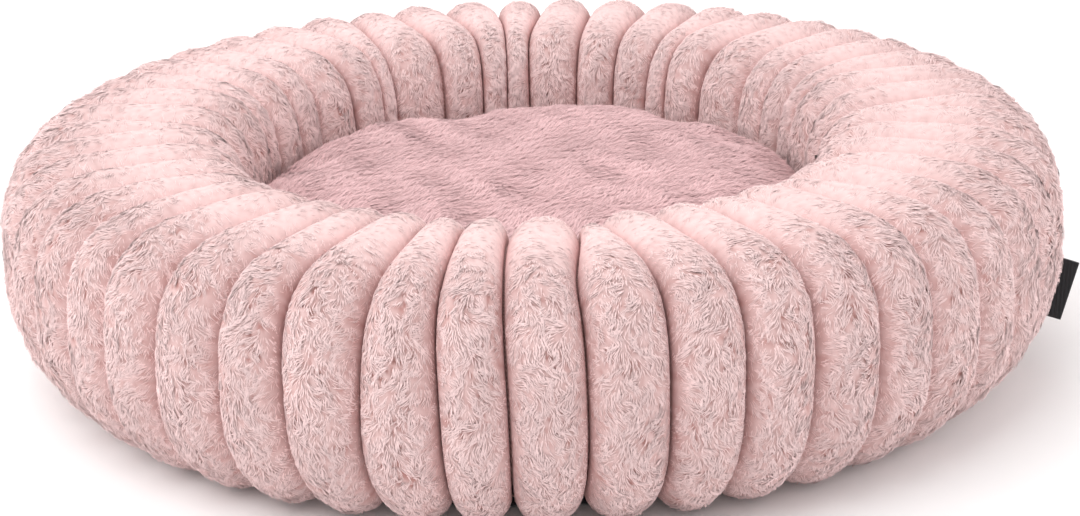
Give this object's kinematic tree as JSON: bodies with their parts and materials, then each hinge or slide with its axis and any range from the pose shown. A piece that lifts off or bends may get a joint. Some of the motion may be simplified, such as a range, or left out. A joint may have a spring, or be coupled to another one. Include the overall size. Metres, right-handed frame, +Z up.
{
  "type": "pet cushion bed",
  "caption": "Round plush pet bed: a low ring of deep, separately stuffed ribs on a flat anti-slip base, with a loose crowned cushion that lifts out.",
  "frame": {"origin": "centre of the underside of the base panel, on the floor", "axes": "+Z up, the bed's front faces -Y, and the side label stands out to +X"},
  "size_m": [0.5046, 0.499, 0.1106],
  "materials": {
    "plush": "matte",
    "fibre": "matte",
    "thread": "satin",
    "anti_slip": "matte",
    "lining": "matte",
    "woven_label": "satin"
  },
  "bodies": {
    "bed": {"rim_cover": "plush", "rib_fibre_01": "fibre", "rib_fibre_02": "fibre", "rib_fibre_03": "fibre", "rib_fibre_04": "fibre", "rib_fibre_05": "fibre", "rib_fibre_06": "fibre", "rib_fibre_07": "fibre", "rib_fibre_08": "fibre", "rib_fibre_09": "fibre", "rib_fibre_10": "fibre", "rib_fibre_11": "fibre", "rib_fibre_12": "fibre", "rib_fibre_13": "fibre", "rib_fibre_14": "fibre", "rib_fibre_15": "fibre", "rib_fibre_16": "fibre", "rib_fibre_17": "fibre", "rib_fibre_18": "fibre", "rib_fibre_19": "fibre", "rib_fibre_20": "fibre", "rib_fibre_21": "fibre", "rib_fibre_22": "fibre", "rib_fibre_23": "fibre", "rib_fibre_24": "fibre", "rib_fibre_25": "fibre", "rib_fibre_26": "fibre", "rib_fibre_27": "fibre", "rib_fibre_28": "fibre", "rib_fibre_29": "fibre", "rib_fibre_30": "fibre", "rib_fibre_31": "fibre", "rib_fibre_32": "fibre", "rib_fibre_33": "fibre", "rib_fibre_34": "fibre", "rib_fibre_35": "fibre", "rib_fibre_36": "fibre", "rib_fibre_37": "fibre", "rib_fibre_38": "fibre", "rib_fibre_39": "fibre", "rib_fibre_40": "fibre", "rib_fibre_41": "fibre", "rib_fibre_42": "fibre", "rib_fibre_43": "fibre", "rib_fibre_44": "fibre", "rib_fibre_45": "fibre", "rib_fibre_46": "fibre", "rib_fibre_47": "fibre", "rib_fibre_48": "fibre", "channel_thread": "thread", "base_panel": "anti_slip", "base_lining": "lining", "base_seam": "thread", "lining_seam": "thread"},
    "cushion": {"cushion_top": "plush", "cushion_underside": "lining", "cushion_fibre": "fibre", "cushion_seam": "thread"},
    "label": {"side_label": "woven_label"}
  },
  "joints": [
    {"name": "cushion_lift", "type": "slide", "parent": "bed", "child": "cushion", "axis": [0, 0, 1], "range_m": [0, 0.16]},
    {"name": "label_flap", "type": "hinge", "parent": "bed", "child": "label", "pos_m": [0.23488, -0.04142, 0.036], "axis": [0.2382, -0.042, 0.9703], "range_deg": [-38, 38], "stiffness_Nm_per_rad": 0.0003}
  ]
}
